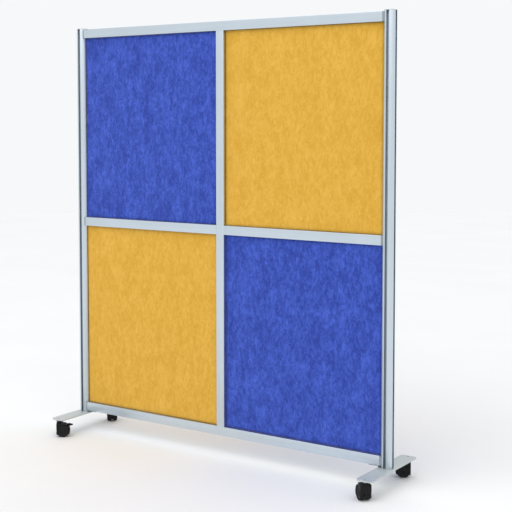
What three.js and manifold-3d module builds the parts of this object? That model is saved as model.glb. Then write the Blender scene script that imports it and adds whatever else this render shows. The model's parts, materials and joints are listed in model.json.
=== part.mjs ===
// Mobile partition wall: a 2 x 2 field of felt-faced pin boards in an aluminium frame.
// Two slotted round posts stand on flat steel feet, and each foot rolls on two hooded twin-wheel castors.
// Millimetres, +Z up. The origin is on the floor below the middle of the wall, X runs along the wall
// and -Y is the front.
import * as THREE from 'three';
import * as BufferGeometryUtils from 'three/addons/utils/BufferGeometryUtils.js';
import Module from 'manifold-3d';

const wasm = await Module();
wasm.setup();

// ---- Driving dimensions ----
const PROFILE = 40; // side of the square rails and of the mullion
const FRAME_HEIGHT = 1800; // underside of the bottom rail to the top of the top rail
const FRAME_BOTTOM = 92; // floor to the underside of the bottom rail
const MID_RAIL_CENTRE = 995; // floor to the middle of the middle rail
const POST_SPACING = 1616; // centre to centre
const POST_RADIUS = 26;

const CASTOR_HEIGHT = 78; // floor to the underside of the foot plate
const FOOT_LENGTH = 396;
const FOOT_WIDTH = 72;
const FOOT_THICKNESS = 6;
const FOOT_CORNER_RADIUS = 14;
const CASTOR_OFFSET = 184; // post axis to castor stem, along Y

const GROOVE_WIDTH = 8; // panel groove in the rails
const GROOVE_DEPTH = 9;
const SLOT_MOUTH = 12; // opening of a post slot
const SLOT_LIP_RADIUS = 22.5; // inner side of the two lips that narrow a post slot
const SLOT_FLOOR_RADIUS = 14.5;
const SLOT_INNER_WIDTH = 18;
const POST_BORE_RADIUS = 5.5;
const PROFILE_WALL = 2.5;
const PROFILE_CHAMFER = 1;

const CORE_THICKNESS = 7.5; // board between the two felt faces
const FELT_THICKNESS = 1.25;
const FELT_MARGIN = 1; // felt edge to the frame
const GROOVE_ENTRY = 7; // how far the board reaches into a rail groove
const POST_ENTRY = 6; // how far it reaches past the post's inner side

// Derived places.
const POST_X = POST_SPACING / 2;
const POST_INNER_X = POST_X - POST_RADIUS;
const FOOT_TOP = CASTOR_HEIGHT + FOOT_THICKNESS;
const FRAME_TOP = FRAME_BOTTOM + FRAME_HEIGHT;
const HALF = PROFILE / 2;
const CAP_THICKNESS = 3;
const POST_TOP = FRAME_TOP + 3;

const SIDES = { left: -1, right: 1 };
const FACES = { front: -1, back: 1 };

// Swivel of each castor at rest: the direction in which its wheels trail, from +X towards +Y.
const CASTOR_TRAIL_DEG = { front_left: 41, front_right: 138, back_left: -44, back_right: 206 };

// ---- Materials ----
const finish = (color, roughness, metalness) => new THREE.MeshStandardMaterial({ color, roughness, metalness });
const anodised = finish(0xc4d0d9, 0.35, 0.9);
const satinSteel = finish(0xb6bec4, 0.4, 0.8);
const zincSteel = finish(0xa8adb0, 0.45, 0.8);
const greyPlastic = finish(0xb4bcc0, 0.5, 0);
const blackPlastic = finish(0x1a1a1c, 0.5, 0);
const blackRubber = finish(0x202022, 0.7, 0);
const boardCore = finish(0x9a7f5c, 0.8, 0);
const blueFelt = finish(0x4159b8, 0.95, 0);
const yellowFelt = finish(0xe2b04d, 0.95, 0);

// ---- Assembly helpers ----
const wall = new THREE.Group();

function addPart(name, geometry, material, parent = wall) {
  const mesh = new THREE.Mesh(geometry, material);
  mesh.name = name;
  parent.add(mesh);
  return mesh;
}

function toSolid(geometry) {
  const bare = geometry.index ? geometry.toNonIndexed() : geometry.clone();
  bare.deleteAttribute('normal');
  bare.deleteAttribute('uv');
  const merged = BufferGeometryUtils.mergeVertices(bare, 1e-4);
  return new wasm.Manifold(
    new wasm.Mesh({
      numProp: 3,
      vertProperties: new Float32Array(merged.attributes.position.array),
      triVerts: new Uint32Array(merged.index.array),
    }),
  );
}

function toGeometry(solid) {
  const mesh = solid.getMesh();
  const geometry = new THREE.BufferGeometry();
  geometry.setAttribute('position', new THREE.BufferAttribute(new Float32Array(mesh.vertProperties), 3));
  geometry.setIndex(new THREE.BufferAttribute(new Uint32Array(mesh.triVerts), 1));
  return geometry;
}

function join(...geometries) {
  return toGeometry(geometries.map(toSolid).reduce((whole, piece) => whole.add(piece)));
}

function cut(geometry, ...tools) {
  return toGeometry(tools.map(toSolid).reduce((whole, tool) => whole.subtract(tool), toSolid(geometry)));
}

// A box from its lowest and highest corners.
function box(low, high) {
  const geometry = new THREE.BoxGeometry(high[0] - low[0], high[1] - low[1], high[2] - low[2]);
  return geometry.translate((low[0] + high[0]) / 2, (low[1] + high[1]) / 2, (low[2] + high[2]) / 2);
}

// A box given for the right half of the wall, put on the left or right by side.
function sidedBox(side, low, high) {
  const xs = [side * low[0], side * high[0]].sort((a, b) => a - b);
  return box([xs[0], low[1], low[2]], [xs[1], high[1], high[2]]);
}

function rodAlongZ(radius, z0, z1, segments = 16) {
  const geometry = new THREE.CylinderGeometry(radius, radius, z1 - z0, segments);
  return geometry.rotateX(Math.PI / 2).translate(0, 0, (z0 + z1) / 2);
}

function rodAlongY(radius, y0, y1, segments = 16) {
  return new THREE.CylinderGeometry(radius, radius, y1 - y0, segments).translate(0, (y0 + y1) / 2, 0);
}

const shapeOf = (points) => new THREE.Shape(points.map(([x, y]) => new THREE.Vector2(x, y)));
const holeOf = (points) => new THREE.Path(points.map(([x, y]) => new THREE.Vector2(x, y)));

// Points along an arc, in degrees, both ends included.
function arc(centre, radius, fromDeg, toDeg, steps) {
  return Array.from({ length: steps + 1 }, (_, i) => {
    const angle = THREE.MathUtils.degToRad(fromDeg + ((toDeg - fromDeg) * i) / steps);
    return [centre[0] + radius * Math.cos(angle), centre[1] + radius * Math.sin(angle)];
  });
}

function extrudeAlongZ(shape, z0, z1) {
  return new THREE.ExtrudeGeometry(shape, { depth: z1 - z0, bevelEnabled: false }).translate(0, 0, z0);
}

// The section's first axis becomes Y and its second Z.
function extrudeAlongX(shape, x0, x1) {
  const turn = new THREE.Matrix4().set(0, 0, 1, 0, 1, 0, 0, 0, 0, 1, 0, 0, 0, 0, 0, 1);
  return new THREE.ExtrudeGeometry(shape, { depth: x1 - x0, bevelEnabled: false })
    .applyMatrix4(turn)
    .translate(x0, 0, 0);
}

// A side outline in X and Z, extruded across Y by halfWidth each way.
function extrudeAcrossY(points, halfWidth) {
  return new THREE.ExtrudeGeometry(shapeOf(points), { depth: 2 * halfWidth, bevelEnabled: false })
    .rotateX(Math.PI / 2)
    .translate(0, halfWidth, 0);
}

// ---- Profiles ----
// Round post with four undercut slots and a bore that takes the foot bolt and the cap.
function postSection() {
  const mouth = SLOT_MOUTH / 2;
  const inner = SLOT_INNER_WIDTH / 2;
  const rimRadius = Math.sqrt(POST_RADIUS ** 2 - mouth ** 2);
  const mouthDeg = THREE.MathUtils.radToDeg(Math.asin(mouth / POST_RADIUS));
  const slot = [
    [SLOT_LIP_RADIUS, -mouth],
    [SLOT_LIP_RADIUS, -inner],
    [SLOT_FLOOR_RADIUS, -inner],
    [SLOT_FLOOR_RADIUS, inner],
    [SLOT_LIP_RADIUS, inner],
    [SLOT_LIP_RADIUS, mouth],
    [rimRadius, mouth],
  ];
  const outline = [];
  for (let quarter = 0; quarter < 4; quarter++) {
    const start = quarter * 90;
    outline.push(...arc([0, 0], POST_RADIUS, start + mouthDeg, start + 90 - mouthDeg, 9));
    const turn = THREE.MathUtils.degToRad(start + 90);
    const turned = slot.map(([r, t]) => [
      r * Math.cos(turn) - t * Math.sin(turn),
      r * Math.sin(turn) + t * Math.cos(turn),
    ]);
    outline.push(...turned.slice(0, -1));
  }
  const shape = shapeOf(outline);
  shape.holes.push(holeOf(arc([0, 0], POST_BORE_RADIUS, 0, 337.5, 15)));
  return shape;
}

// Square rail with a panel groove on its upper side, and on its lower side too when it is double.
function railSection(double) {
  const edge = HALF - PROFILE_CHAMFER;
  const groove = GROOVE_WIDTH / 2;
  const floor = HALF - GROOVE_DEPTH;
  const lowerGroove = [
    [-groove, -HALF],
    [-groove, -floor],
    [groove, -floor],
    [groove, -HALF],
  ];
  const shape = shapeOf([
    [-edge, -HALF],
    ...(double ? lowerGroove : []),
    [edge, -HALF],
    [HALF, -edge],
    [HALF, edge],
    [edge, HALF],
    [groove, HALF],
    [groove, floor],
    [-groove, floor],
    [-groove, HALF],
    [-edge, HALF],
    [-HALF, edge],
    [-HALF, -edge],
  ]);
  const wide = HALF - PROFILE_WALL;
  const high = floor - PROFILE_WALL;
  const low = double ? -high : -wide;
  shape.holes.push(
    holeOf([
      [-wide, low],
      [-wide, high],
      [wide, high],
      [wide, low],
    ]),
  );
  return shape;
}

// ---- Posts, caps and foot bolts ----
const CAP_PLUG_RADIUS = 5;
const CAP_PLUG_LENGTH = 12;
const BOLT_RADIUS = 5;
const BOLT_HEAD_RADIUS = 9.8;
const BOLT_HEAD_HEIGHT = 7;
const BOLT_REACH = 40;

function postCap() {
  const disc = rodAlongZ(POST_RADIUS, POST_TOP, POST_TOP + CAP_THICKNESS, 48);
  const plug = rodAlongZ(CAP_PLUG_RADIUS, POST_TOP - CAP_PLUG_LENGTH, POST_TOP + 1);
  return join(disc, plug);
}

function postBolt() {
  const head = rodAlongZ(BOLT_HEAD_RADIUS, CASTOR_HEIGHT - BOLT_HEAD_HEIGHT, CASTOR_HEIGHT, 6);
  const shank = rodAlongZ(BOLT_RADIUS, CASTOR_HEIGHT - 1, FOOT_TOP + BOLT_REACH);
  return join(head, shank);
}

for (const [sideName, side] of Object.entries(SIDES)) {
  const group = new THREE.Group();
  group.position.x = side * POST_X;
  wall.add(group);
  addPart(`post_${sideName}`, extrudeAlongZ(postSection(), FOOT_TOP, POST_TOP), anodised, group);
  addPart(`post_cap_${sideName}`, postCap(), greyPlastic, group);
  addPart(`post_bolt_${sideName}`, postBolt(), zincSteel, group);
}

// ---- Rails and mullion ----
const LOCK_SCREW_X = 770;
const LOCK_HOLE_RADIUS = 4.5;
const BRACKET_SCREW_X = 745;
const BRACKET_HOLE_RADIUS = 2.75;
const SINGLE_CHAMBER_SHIFT = 4.5; // a single-groove rail's hollow is this far from its middle

// Middle of each rail, middle of its hollow, and the sides with a panel groove (1 above, -1 below).
const RAILS = {
  top: { z: FRAME_TOP - HALF, lockZ: FRAME_TOP - HALF + SINGLE_CHAMBER_SHIFT, grooves: [-1] },
  mid: { z: MID_RAIL_CENTRE, lockZ: MID_RAIL_CENTRE, grooves: [-1, 1] },
  bottom: { z: FRAME_BOTTOM + HALF, lockZ: FRAME_BOTTOM + HALF - SINGLE_CHAMBER_SHIFT, grooves: [1] },
};

function lockHole(side, z) {
  const hole = rodAlongY(LOCK_HOLE_RADIUS, HALF - PROFILE_WALL - 1, HALF + 1);
  return hole.translate(side * LOCK_SCREW_X, 0, z);
}

function bracketHole(side) {
  const hole = rodAlongZ(BRACKET_HOLE_RADIUS, FRAME_BOTTOM - 1, FRAME_BOTTOM + PROFILE_WALL + 1);
  return hole.translate(side * BRACKET_SCREW_X, 0, 0);
}

function topRail() {
  const { z, lockZ } = RAILS.top;
  const bar = extrudeAlongX(railSection(false), -POST_INNER_X, POST_INNER_X).rotateX(Math.PI);
  bar.translate(0, 0, z);
  return cut(bar, lockHole(-1, lockZ), lockHole(1, lockZ));
}

function bottomRail() {
  const { z, lockZ } = RAILS.bottom;
  const bar = extrudeAlongX(railSection(false), -POST_INNER_X, POST_INNER_X).translate(0, 0, z);
  return cut(bar, lockHole(-1, lockZ), lockHole(1, lockZ), bracketHole(-1), bracketHole(1));
}

function midRail(side) {
  const ends = [side * HALF, side * POST_INNER_X].sort((a, b) => a - b);
  const bar = extrudeAlongX(railSection(true), ends[0], ends[1]).translate(0, 0, RAILS.mid.z);
  return cut(bar, lockHole(side, RAILS.mid.lockZ));
}

function mullion() {
  const low = FRAME_BOTTOM + PROFILE;
  const high = FRAME_TOP - PROFILE;
  return extrudeAlongZ(railSection(true), low, high).rotateZ(Math.PI / 2);
}

addPart('top_rail', topRail(), anodised);
addPart('bottom_rail', bottomRail(), anodised);
addPart('centre_mullion', mullion(), anodised);
for (const [sideName, side] of Object.entries(SIDES)) {
  addPart(`mid_rail_${sideName}`, midRail(side), anodised);
}

// ---- Rail locks ----
// A block inside the rail's end with a hex-socket screw that is reached through a hole in the rail's
// back, a nose that fills the gap between the rail and the round post, and a T-shaped hook in the
// post's inner slot.
const LOCK_X = [746, POST_INNER_X + 2];
const LOCK_HALF_HEIGHT = 8;
const LOCK_HALF_DEPTH = 14;
const NOSE_END_X = 794;
const NOSE_HALF = 19;
const POST_CLEARANCE = 0.25;
const HOOK_NECK_HALF = 3.5;
const HOOK_HEAD_HALF = 7.5;
const HOOK_HEAD_X = [786.5, 791.5];

function lockNose(side, rail) {
  const block = sidedBox(
    side,
    [POST_INNER_X, -NOSE_HALF, rail.z - NOSE_HALF],
    [NOSE_END_X, NOSE_HALF, rail.z + NOSE_HALF],
  );
  const grooves = rail.grooves.map((way) => {
    const zs = [rail.z + way * (HALF - GROOVE_DEPTH), rail.z + way * HALF].sort((a, b) => a - b);
    return sidedBox(
      side,
      [POST_INNER_X - 1, -GROOVE_WIDTH / 2, zs[0]],
      [NOSE_END_X + 1, GROOVE_WIDTH / 2, zs[1]],
    );
  });
  return cut(block, ...grooves);
}

function railLock(side, rail) {
  const z = rail.lockZ;
  const body = sidedBox(
    side,
    [LOCK_X[0], -LOCK_HALF_DEPTH, z - LOCK_HALF_HEIGHT],
    [LOCK_X[1], LOCK_HALF_DEPTH, z + LOCK_HALF_HEIGHT],
  );
  const postSpace = rodAlongZ(POST_RADIUS + POST_CLEARANCE, rail.z - PROFILE, rail.z + PROFILE, 72);
  postSpace.translate(side * POST_X, 0, 0);
  const neck = sidedBox(
    side,
    [LOCK_X[0] + 1, -HOOK_NECK_HALF, z - LOCK_HALF_HEIGHT + 1],
    [HOOK_HEAD_X[0] + 1, HOOK_NECK_HALF, z + LOCK_HALF_HEIGHT - 1],
  );
  const head = sidedBox(
    side,
    [HOOK_HEAD_X[0], -HOOK_HEAD_HALF, z - LOCK_HALF_HEIGHT + 1],
    [HOOK_HEAD_X[1], HOOK_HEAD_HALF, z + LOCK_HALF_HEIGHT - 1],
  );
  const screw = rodAlongY(4, LOCK_HALF_DEPTH - 1, HALF - 0.5).translate(side * LOCK_SCREW_X, 0, z);
  const socket = rodAlongY(2.3, HALF - 3.5, HALF + 1, 6).translate(side * LOCK_SCREW_X, 0, z);
  const block = cut(join(body, lockNose(side, rail)), postSpace);
  return cut(join(block, neck, head, screw), socket);
}

for (const [railName, rail] of Object.entries(RAILS)) {
  for (const [sideName, side] of Object.entries(SIDES)) {
    addPart(`rail_lock_${railName}_${sideName}`, railLock(side, rail), zincSteel);
  }
}

// ---- Panels: a board in the grooves with a felt face on each side ----
const ROWS = {
  upper: { low: MID_RAIL_CENTRE + HALF, high: FRAME_TOP - PROFILE },
  lower: { low: FRAME_BOTTOM + PROFILE, high: MID_RAIL_CENTRE - HALF },
};
const FELT_COLOURS = { upper_left: blueFelt, upper_right: yellowFelt, lower_left: yellowFelt, lower_right: blueFelt };

function panelCore(side, row) {
  return sidedBox(
    side,
    [HALF - GROOVE_ENTRY, -CORE_THICKNESS / 2, row.low - GROOVE_ENTRY],
    [POST_INNER_X + POST_ENTRY, CORE_THICKNESS / 2, row.high + GROOVE_ENTRY],
  );
}

function feltFace(side, face, row) {
  const near = (face * CORE_THICKNESS) / 2;
  const far = face * (CORE_THICKNESS / 2 + FELT_THICKNESS);
  return sidedBox(
    side,
    [HALF + FELT_MARGIN, Math.min(near, far), row.low + FELT_MARGIN],
    [POST_INNER_X - FELT_MARGIN, Math.max(near, far), row.high - FELT_MARGIN],
  );
}

for (const [rowName, row] of Object.entries(ROWS)) {
  for (const [sideName, side] of Object.entries(SIDES)) {
    const place = `${rowName}_${sideName}`;
    addPart(`panel_core_${place}`, panelCore(side, row), boardCore);
    for (const [faceName, face] of Object.entries(FACES)) {
      addPart(`felt_${faceName}_${place}`, feltFace(side, face, row), FELT_COLOURS[place]);
    }
  }
}

// ---- Feet ----
const STEM_HOLE_RADIUS = 5.5;
const FOOT_BEVEL = 1;
const BRACKET_X = [731, POST_INNER_X - 1];
const BRACKET_HEEL_X = 773; // from here to its end the bracket is as thick as the gap and rests on the foot
const BRACKET_HALF_WIDTH = 14;
const BRACKET_THICKNESS = 4;

function footPlate() {
  const cornerX = FOOT_WIDTH / 2 - FOOT_CORNER_RADIUS;
  const cornerY = FOOT_LENGTH / 2 - FOOT_CORNER_RADIUS;
  const shape = shapeOf([
    ...arc([cornerX, cornerY], FOOT_CORNER_RADIUS, 0, 90, 6),
    ...arc([-cornerX, cornerY], FOOT_CORNER_RADIUS, 90, 180, 6),
    ...arc([-cornerX, -cornerY], FOOT_CORNER_RADIUS, 180, 270, 6),
    ...arc([cornerX, -cornerY], FOOT_CORNER_RADIUS, 270, 360, 6),
  ]);
  for (const y of [-CASTOR_OFFSET, 0, CASTOR_OFFSET]) {
    shape.holes.push(holeOf(arc([0, y], STEM_HOLE_RADIUS + FOOT_BEVEL, 0, 337.5, 15)));
  }
  return new THREE.ExtrudeGeometry(shape, {
    depth: FOOT_THICKNESS - 2 * FOOT_BEVEL,
    bevelThickness: FOOT_BEVEL,
    bevelSize: FOOT_BEVEL,
    bevelOffset: -FOOT_BEVEL,
    bevelSegments: 1,
  }).translate(0, 0, CASTOR_HEIGHT + FOOT_BEVEL);
}

// Flat tongue screwed up into the bottom rail, with a heel that carries the rail's end on the foot.
function footBracket(side) {
  const low = FRAME_BOTTOM - BRACKET_THICKNESS;
  const tongue = sidedBox(
    side,
    [BRACKET_X[0], -BRACKET_HALF_WIDTH, low],
    [BRACKET_X[1], BRACKET_HALF_WIDTH, FRAME_BOTTOM],
  );
  const heel = sidedBox(
    side,
    [BRACKET_HEEL_X, -BRACKET_HALF_WIDTH, FOOT_TOP],
    [BRACKET_X[1], BRACKET_HALF_WIDTH, low + 1],
  );
  const hole = rodAlongZ(BRACKET_HOLE_RADIUS, low - 1, FRAME_BOTTOM + 1);
  return cut(join(tongue, heel), hole.translate(side * BRACKET_SCREW_X, 0, 0));
}

function bracketScrew(side) {
  const seat = FRAME_BOTTOM - BRACKET_THICKNESS;
  const head = rodAlongZ(5, seat - 3, seat);
  const shank = rodAlongZ(2.25, seat - 1, FRAME_BOTTOM + 6, 12);
  return join(head, shank).translate(side * BRACKET_SCREW_X, 0, 0);
}

for (const [sideName, side] of Object.entries(SIDES)) {
  const plate = addPart(`foot_plate_${sideName}`, footPlate(), satinSteel);
  plate.position.x = side * POST_X;
  addPart(`foot_bracket_${sideName}`, footBracket(side), satinSteel);
  addPart(`bracket_screw_${sideName}`, bracketScrew(side), zincSteel);
}

// ---- Castors ----
// Drawn with the stem on Z and the wheels trailing along +X, then turned to their places.
const WHEEL_RADIUS = 29;
const WHEEL_SEGMENTS = 28;
const WHEEL_INNER_Y = 6.5;
const WHEEL_OUTER_Y = 23;
const TRAIL = 18;
const AXLE = [TRAIL, WHEEL_RADIUS];
const AXLE_RADIUS = 3;
const AXLE_HALF_LENGTH = 21;
const HOOD_RADIUS = 33;
const WHEEL_CLEARANCE_RADIUS = 30.3;
const WEB_HALF = 5.5;
const BOSS_TOP = 73.5;
const STEM_RADIUS = 5;
const STEM_FLANGE_RADIUS = 13;
const BOSS_RADIUS = 11;
const PEDAL_PIVOT = [35, 46];
const PEDAL_PIN_RADIUS = 1.6;

function castorStem() {
  const flange = rodAlongZ(STEM_FLANGE_RADIUS, CASTOR_HEIGHT - 4, CASTOR_HEIGHT, 28);
  const stem = rodAlongZ(STEM_RADIUS, 60, FOOT_TOP - 0.5);
  return join(flange, stem);
}

// Hood over both wheels, with a web between them, a boss for the stem and a pocket for the brake pedal.
function castorHood() {
  const side = extrudeAcrossY(
    [
      [-12, 14],
      [-4, 10],
      [28, 10],
      [44, 20],
      [47, 32],
      ...arc(AXLE, HOOD_RADIUS, 8, 85, 12),
      [15, 66],
      [-10, 66],
      [-12, 64],
    ],
    WHEEL_OUTER_Y,
  );
  const boss = rodAlongZ(BOSS_RADIUS, 62, BOSS_TOP, 28);
  const pocket = extrudeAcrossY(
    [
      [29, 43],
      [35, 38.5],
      [56, 47],
      [56, 68],
      [34, 68],
      [29, 52],
    ],
    3.5,
  );
  const wheelSpace = [-1, 1].map((way) => {
    const ys = [way * WEB_HALF, way * (WHEEL_OUTER_Y + 1)].sort((a, b) => a - b);
    return rodAlongY(WHEEL_CLEARANCE_RADIUS, ys[0], ys[1], 40).translate(AXLE[0], 0, AXLE[1]);
  });
  const axleHole = rodAlongY(AXLE_RADIUS + 0.3, -WEB_HALF - 1, WEB_HALF + 1).translate(AXLE[0], 0, AXLE[1]);
  const pinHole = rodAlongY(2.1, -WEB_HALF - 1, WEB_HALF + 1, 12);
  pinHole.translate(PEDAL_PIVOT[0], 0, PEDAL_PIVOT[1]);
  const stemHole = rodAlongZ(STEM_RADIUS + 0.6, 59, BOSS_TOP + 1);
  return cut(join(side, boss), pocket, ...wheelSpace, axleHole, pinHole, stemHole);
}

function castorAxle() {
  return rodAlongY(AXLE_RADIUS, -AXLE_HALF_LENGTH, AXLE_HALF_LENGTH).translate(AXLE[0], 0, AXLE[1]);
}

// One wheel, with a blind bore from its inner side and a flat of its rim down.
function castorWheel(way) {
  const rim = WHEEL_RADIUS / Math.cos(Math.PI / WHEEL_SEGMENTS);
  const profile = [
    [0, WHEEL_OUTER_Y - 1],
    [9, WHEEL_OUTER_Y - 1],
    [11, WHEEL_OUTER_Y - 3],
    [21, WHEEL_OUTER_Y - 2],
    [23, WHEEL_OUTER_Y],
    [rim - 2, WHEEL_OUTER_Y],
    [rim, WHEEL_OUTER_Y - 2.5],
    [rim, WHEEL_INNER_Y + 2],
    [rim - 1.5, WHEEL_INNER_Y],
    [AXLE_RADIUS + 0.3, WHEEL_INNER_Y],
    [AXLE_RADIUS + 0.3, AXLE_HALF_LENGTH + 0.3],
    [0, AXLE_HALF_LENGTH + 0.3],
  ];
  const points = profile.map(([r, y]) => new THREE.Vector2(r, y)).reverse();
  const wheel = new THREE.LatheGeometry(points, WHEEL_SEGMENTS, Math.PI / WHEEL_SEGMENTS);
  if (way < 0) wheel.rotateZ(Math.PI);
  return wheel.translate(AXLE[0], 0, AXLE[1]);
}

// Brake pedal: a tongue that reaches through the hood to its pin, and a wider toe tab outside.
function castorPedal() {
  const tongue = extrudeAcrossY(
    [
      [31.5, 44.5],
      [35, 42],
      [44, 49.5],
      [50, 50.5],
      [50, 58.5],
      [44, 60],
      [40, 59],
      [32, 48.5],
    ],
    3,
  );
  const tab = extrudeAcrossY(
    [
      [45.5, 51],
      [50, 50.5],
      [63.5, 53],
      [64, 55],
      [52, 58.5],
      [44, 60.5],
      [41, 58.5],
    ],
    9,
  );
  const pin = rodAlongY(PEDAL_PIN_RADIUS, -5.2, 5.2, 12).translate(PEDAL_PIVOT[0], 0, PEDAL_PIVOT[1]);
  return join(tongue, tab, pin);
}

for (const [sideName, side] of Object.entries(SIDES)) {
  for (const [faceName, face] of Object.entries(FACES)) {
    const castor = new THREE.Group();
    const name = `castor_${faceName}_${sideName}`;
    castor.position.set(side * POST_X, face * CASTOR_OFFSET, 0);
    castor.rotation.z = THREE.MathUtils.degToRad(CASTOR_TRAIL_DEG[`${faceName}_${sideName}`]);
    wall.add(castor);
    addPart(`${name}_stem`, castorStem(), zincSteel, castor);
    addPart(`${name}_hood`, castorHood(), blackPlastic, castor);
    addPart(`${name}_axle`, castorAxle(), zincSteel, castor);
    addPart(`${name}_wheel_a`, castorWheel(1), blackRubber, castor);
    addPart(`${name}_wheel_b`, castorWheel(-1), blackRubber, castor);
    addPart(`${name}_pedal`, castorPedal(), blackPlastic, castor);
  }
}

export default wall;
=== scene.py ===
"""Looks of the mobile partition wall: felt pin boards in a slotted aluminium frame on twin-wheel castors.

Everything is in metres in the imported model's frame: X along the wall, -Y the front, Z up.
"""

import json
import math

import bmesh
import bpy
from mathutils import Matrix, Vector, noise
from mathutils.geometry import tessellate_polygon


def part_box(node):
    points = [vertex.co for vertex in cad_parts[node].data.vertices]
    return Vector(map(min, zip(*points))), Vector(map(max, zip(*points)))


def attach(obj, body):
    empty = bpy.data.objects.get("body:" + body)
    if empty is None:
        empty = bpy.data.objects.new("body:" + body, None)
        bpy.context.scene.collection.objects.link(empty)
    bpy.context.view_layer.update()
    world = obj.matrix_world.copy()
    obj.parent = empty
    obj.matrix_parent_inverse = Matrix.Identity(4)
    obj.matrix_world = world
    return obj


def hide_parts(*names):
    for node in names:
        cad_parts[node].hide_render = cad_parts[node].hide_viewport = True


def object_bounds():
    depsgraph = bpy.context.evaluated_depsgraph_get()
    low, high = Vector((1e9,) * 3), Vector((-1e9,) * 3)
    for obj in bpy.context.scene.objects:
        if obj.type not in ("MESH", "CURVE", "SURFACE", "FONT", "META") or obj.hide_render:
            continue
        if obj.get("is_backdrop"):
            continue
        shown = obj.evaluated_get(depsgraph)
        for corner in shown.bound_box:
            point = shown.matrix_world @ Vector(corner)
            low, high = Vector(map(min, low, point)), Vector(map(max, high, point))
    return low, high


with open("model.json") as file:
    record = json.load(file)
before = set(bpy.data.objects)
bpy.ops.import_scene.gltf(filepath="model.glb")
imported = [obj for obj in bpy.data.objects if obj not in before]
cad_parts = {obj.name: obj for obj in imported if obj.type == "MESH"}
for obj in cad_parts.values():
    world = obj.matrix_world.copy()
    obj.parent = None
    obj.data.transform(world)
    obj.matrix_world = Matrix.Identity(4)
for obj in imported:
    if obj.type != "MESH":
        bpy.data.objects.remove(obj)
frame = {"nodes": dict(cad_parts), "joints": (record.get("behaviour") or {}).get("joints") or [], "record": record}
cad_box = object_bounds()

MM = 0.001
SIDES = {"left": -1, "right": 1}
FACES = {"front": -1, "back": 1}
ROWS = ("upper", "lower")
JOINTS = {joint["name"]: joint for joint in frame["joints"]}

# ---- Camera and studio ----
CAMERA_PLACE = (2.8563, -3.9609, 1.4550)
CAMERA_AZIMUTH = 34.094
CAMERA_PITCH = 3.602
CAMERA_LENS = 79.38
CAMERA_SHIFT = -0.12
SENSOR = 36.0
WORLD_COLOUR = (0.98, 0.99, 1.0, 1)
WORLD_STRENGTH = 0.95
SUN_DIRECTION = (-0.25, 0.45, -1.0)
SUN_SPREAD_DEG = 80
SUN_POWER = 0.62
PANEL_PLACE = (-0.6, -3.2, 6.0)
PANEL_TARGET = (0, 0, 0.6)
PANEL_SIZE = 4.5
PANEL_POWER = 55
FLOOR_RADIUS = 14.0


def make_camera():
    data = bpy.data.cameras.new("camera")
    data.sensor_width = SENSOR
    data.lens = CAMERA_LENS
    data.shift_y = CAMERA_SHIFT
    data.dof.use_dof = False
    camera = bpy.data.objects.new("camera", data)
    camera.location = CAMERA_PLACE
    tilt = math.radians(90 - CAMERA_PITCH)
    camera.rotation_euler = (tilt, 0, math.radians(CAMERA_AZIMUTH))
    bpy.context.scene.collection.objects.link(camera)
    bpy.context.scene.camera = camera


def area_light(name, place, target, size, power):
    data = bpy.data.lights.new(name, "AREA")
    data.shape = "DISK"
    data.size = size
    data.energy = power
    light = bpy.data.objects.new(name, data)
    light.location = place
    aim = Vector(target) - Vector(place)
    light.rotation_euler = aim.to_track_quat("-Z", "Y").to_euler()
    bpy.context.scene.collection.objects.link(light)


def soft_sun(name, direction, spread_deg, power):
    """An even light from far away; direction is the way it shines."""
    data = bpy.data.lights.new(name, "SUN")
    data.angle = math.radians(spread_deg)
    data.energy = power
    light = bpy.data.objects.new(name, data)
    light.rotation_euler = Vector(direction).to_track_quat("-Z", "Y").to_euler()
    bpy.context.scene.collection.objects.link(light)


def make_studio():
    scene = bpy.context.scene
    scene.view_settings.view_transform = "Standard"
    world = bpy.data.worlds.new("studio")
    world.use_nodes = True
    background = world.node_tree.nodes["Background"]
    background.inputs["Color"].default_value = WORLD_COLOUR
    background.inputs["Strength"].default_value = WORLD_STRENGTH
    scene.world = world
    soft_sun("overhead", SUN_DIRECTION, SUN_SPREAD_DEG, SUN_POWER)
    area_light("panel", PANEL_PLACE, PANEL_TARGET, PANEL_SIZE, PANEL_POWER)


# ---- Node materials ----
def new_material(name, **values):
    """A material with a Principled shader whose sockets take the given values, with _ for a space."""
    material = bpy.data.materials.new(name)
    material.use_nodes = True
    shader = material.node_tree.nodes["Principled BSDF"]
    for socket, value in values.items():
        shader.inputs[socket.replace("_", " ")].default_value = value
    return material, material.node_tree, shader


def add_node(tree, kind, settings=None, **inputs):
    node = tree.nodes.new(kind)
    for name, value in (settings or {}).items():
        setattr(node, name, value)
    for name, value in inputs.items():
        socket = node.inputs[name.replace("_", " ")]
        if isinstance(value, bpy.types.NodeSocket):
            tree.links.new(value, socket)
        else:
            socket.default_value = value
    return node


def stretched_noise(
    tree, scale, stretch=(1, 1, 1), turn=(0, 0, 0), detail=3.0, roughness=0.55, distortion=0.0
):
    """Noise over the piece's own coordinates; scale is in cycles per metre before the stretch."""
    place = add_node(tree, "ShaderNodeTexCoord").outputs["Object"]
    mapping = add_node(tree, "ShaderNodeMapping", Vector=place, Scale=stretch, Rotation=turn)
    texture = add_node(
        tree,
        "ShaderNodeTexNoise",
        Vector=mapping.outputs["Vector"],
        Scale=scale,
        Detail=detail,
        Roughness=roughness,
        Distortion=distortion,
    )
    return texture.outputs["Fac"]


def remap(tree, value, low, high, out_low, out_high):
    node = add_node(tree, "ShaderNodeMapRange", Value=value)
    for name, number in (("From Min", low), ("From Max", high), ("To Min", out_low), ("To Max", out_high)):
        node.inputs[name].default_value = number
    return node.outputs["Result"]


def combine(tree, operation, first, second):
    node = add_node(tree, "ShaderNodeMath", {"operation": operation})
    for socket, value in zip(node.inputs, (first, second)):
        if isinstance(value, bpy.types.NodeSocket):
            tree.links.new(value, socket)
        else:
            socket.default_value = value
    return node.outputs[0]


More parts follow.
